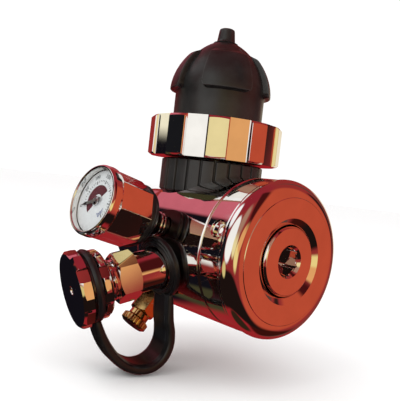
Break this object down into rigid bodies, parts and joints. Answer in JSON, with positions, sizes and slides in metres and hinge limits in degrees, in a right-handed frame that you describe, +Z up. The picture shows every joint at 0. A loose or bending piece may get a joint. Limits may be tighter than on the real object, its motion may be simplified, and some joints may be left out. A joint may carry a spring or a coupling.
{
  "type": "scuba regulator first stage",
  "caption": "Diaphragm regulator first stage with a screw-in cylinder connection under a dust cap, a small pressure gauge, a capped outlet on a rubber strap and a relief valve.",
  "frame": {"origin": "centre of the body's plain rear face", "axes": "+X forward along the main axis to the adjuster, +Z up along the cylinder connection, ports on the -Y side"},
  "size_m": [0.0715, 0.078, 0.1065],
  "materials": {
    "chrome": "polished chrome plate on brass, mirror bright",
    "brass": "machined brass, light tarnish",
    "sintered_bronze": "sintered bronze, grainy and matt",
    "steel": "spring and stainless steel, fine drawn finish",
    "rubber": "black nitrile rubber, soft sheen",
    "black_plastic": "black moulded plastic, fine texture",
    "dial": "white printed dial",
    "needle": "black lacquered pointer",
    "lens": "clear polished lens",
    "seat": "pale engineering plastic"
  },
  "bodies": {
    "base": {"body": "chrome", "diaphragm_clamp": "chrome", "diaphragm": "rubber", "main_spring": "steel", "valve_seat": "brass", "poppet_spring": "steel", "balance_sleeve": "seat", "balance_oring": "rubber", "din_spindle": "chrome", "din_face_oring": "rubber", "din_filter": "sintered_bronze", "filter_clip": "steel", "gauge_adapter": "chrome", "swivel_oring": "rubber", "gauge_stem_ring": "rubber", "outlet_coupling": "chrome", "strap": "rubber", "relief_body": "brass", "relief_cap": "brass", "relief_spring": "steel", "port_plug_0": "chrome", "port_plug_1": "chrome", "port_oring_0": "rubber", "port_oring_1": "rubber"},
    "wheel": {"handwheel": "chrome", "grip_collar": "black_plastic"},
    "cap_slide": {"dust_cap_seal": "rubber"},
    "cap": {"dust_cap": "black_plastic"},
    "adjuster_slide": {"spring_washer": "steel"},
    "adjuster": {"adjuster_screw": "chrome"},
    "valve": {"diaphragm_plate": "brass", "lifter": "brass", "poppet": "seat"},
    "gauge": {"gauge_stem": "chrome", "gauge_bumper": "rubber", "gauge_can": "chrome", "gauge_dial": "dial", "gauge_lens": "lens", "bourdon_tube": "brass"},
    "needle": {"gauge_needle": "needle"},
    "plug_slide": {"plug_seal": "rubber"},
    "plug": {"outlet_plug": "chrome"},
    "relief": {"relief_poppet": "brass"}
  },
  "joints": [
    {"name": "handwheel_turn", "type": "hinge", "parent": "base", "child": "wheel", "pos_m": [0.034, 0, 0], "axis": [0, 0, 1], "continuous": true},
    {"name": "cap_lift", "type": "slide", "parent": "wheel", "child": "cap_slide", "axis": [0, 0, 1], "range_m": [0, 0.00907]},
    {"name": "cap_turn", "type": "hinge", "parent": "cap_slide", "child": "cap", "pos_m": [0.034, 0, 0], "axis": [0, 0, 1], "range_deg": [0, 1800]},
    {"name": "adjuster_travel", "type": "slide", "parent": "base", "child": "adjuster_slide", "axis": [1, 0, 0], "range_m": [-0.001, 0.001], "deforming": ["main_spring"]},
    {"name": "adjuster_turn", "type": "hinge", "parent": "adjuster_slide", "child": "adjuster", "pos_m": [0, 0, 0], "axis": [1, 0, 0], "range_deg": [-360, 360]},
    {"name": "valve_lift", "type": "slide", "parent": "base", "child": "valve", "axis": [-1, 0, 0], "range_m": [0, 0.0006], "stiffness_N_per_m": 2000, "deforming": ["diaphragm", "poppet_spring"]},
    {"name": "gauge_swivel", "type": "hinge", "parent": "base", "child": "gauge", "pos_m": [0.0325, 0, 0], "axis": [0.0558, -0.9664, 0.2508], "continuous": true},
    {"name": "needle_turn", "type": "hinge", "parent": "gauge", "child": "needle", "pos_m": [0.0325, 0, 0], "axis": [-0.0558, 0.9664, -0.2508], "range_deg": [0, 240]},
    {"name": "plug_travel", "type": "slide", "parent": "base", "child": "plug_slide", "axis": [-0.1616, -0.95, -0.267], "range_m": [0, 0.00423], "deforming": ["strap"]},
    {"name": "plug_turn", "type": "hinge", "parent": "plug_slide", "child": "plug", "pos_m": [0.0465, 0, 0], "axis": [-0.1616, -0.95, -0.267], "range_deg": [0, 1080]},
    {"name": "relief_lift", "type": "slide", "parent": "base", "child": "relief", "axis": [0, -0.6293, -0.7771], "range_m": [0, 0.0008], "stiffness_N_per_m": 1500, "deforming": ["relief_spring"]}
  ],
  "couplings": [
    {"joint": "cap_turn", "follows": "cap_lift", "rad_per_m": 3463.7},
    {"joint": "adjuster_turn", "follows": "adjuster_travel", "rad_per_m": 6283.2},
    {"joint": "plug_turn", "follows": "plug_travel", "rad_per_m": 4453}
  ]
}
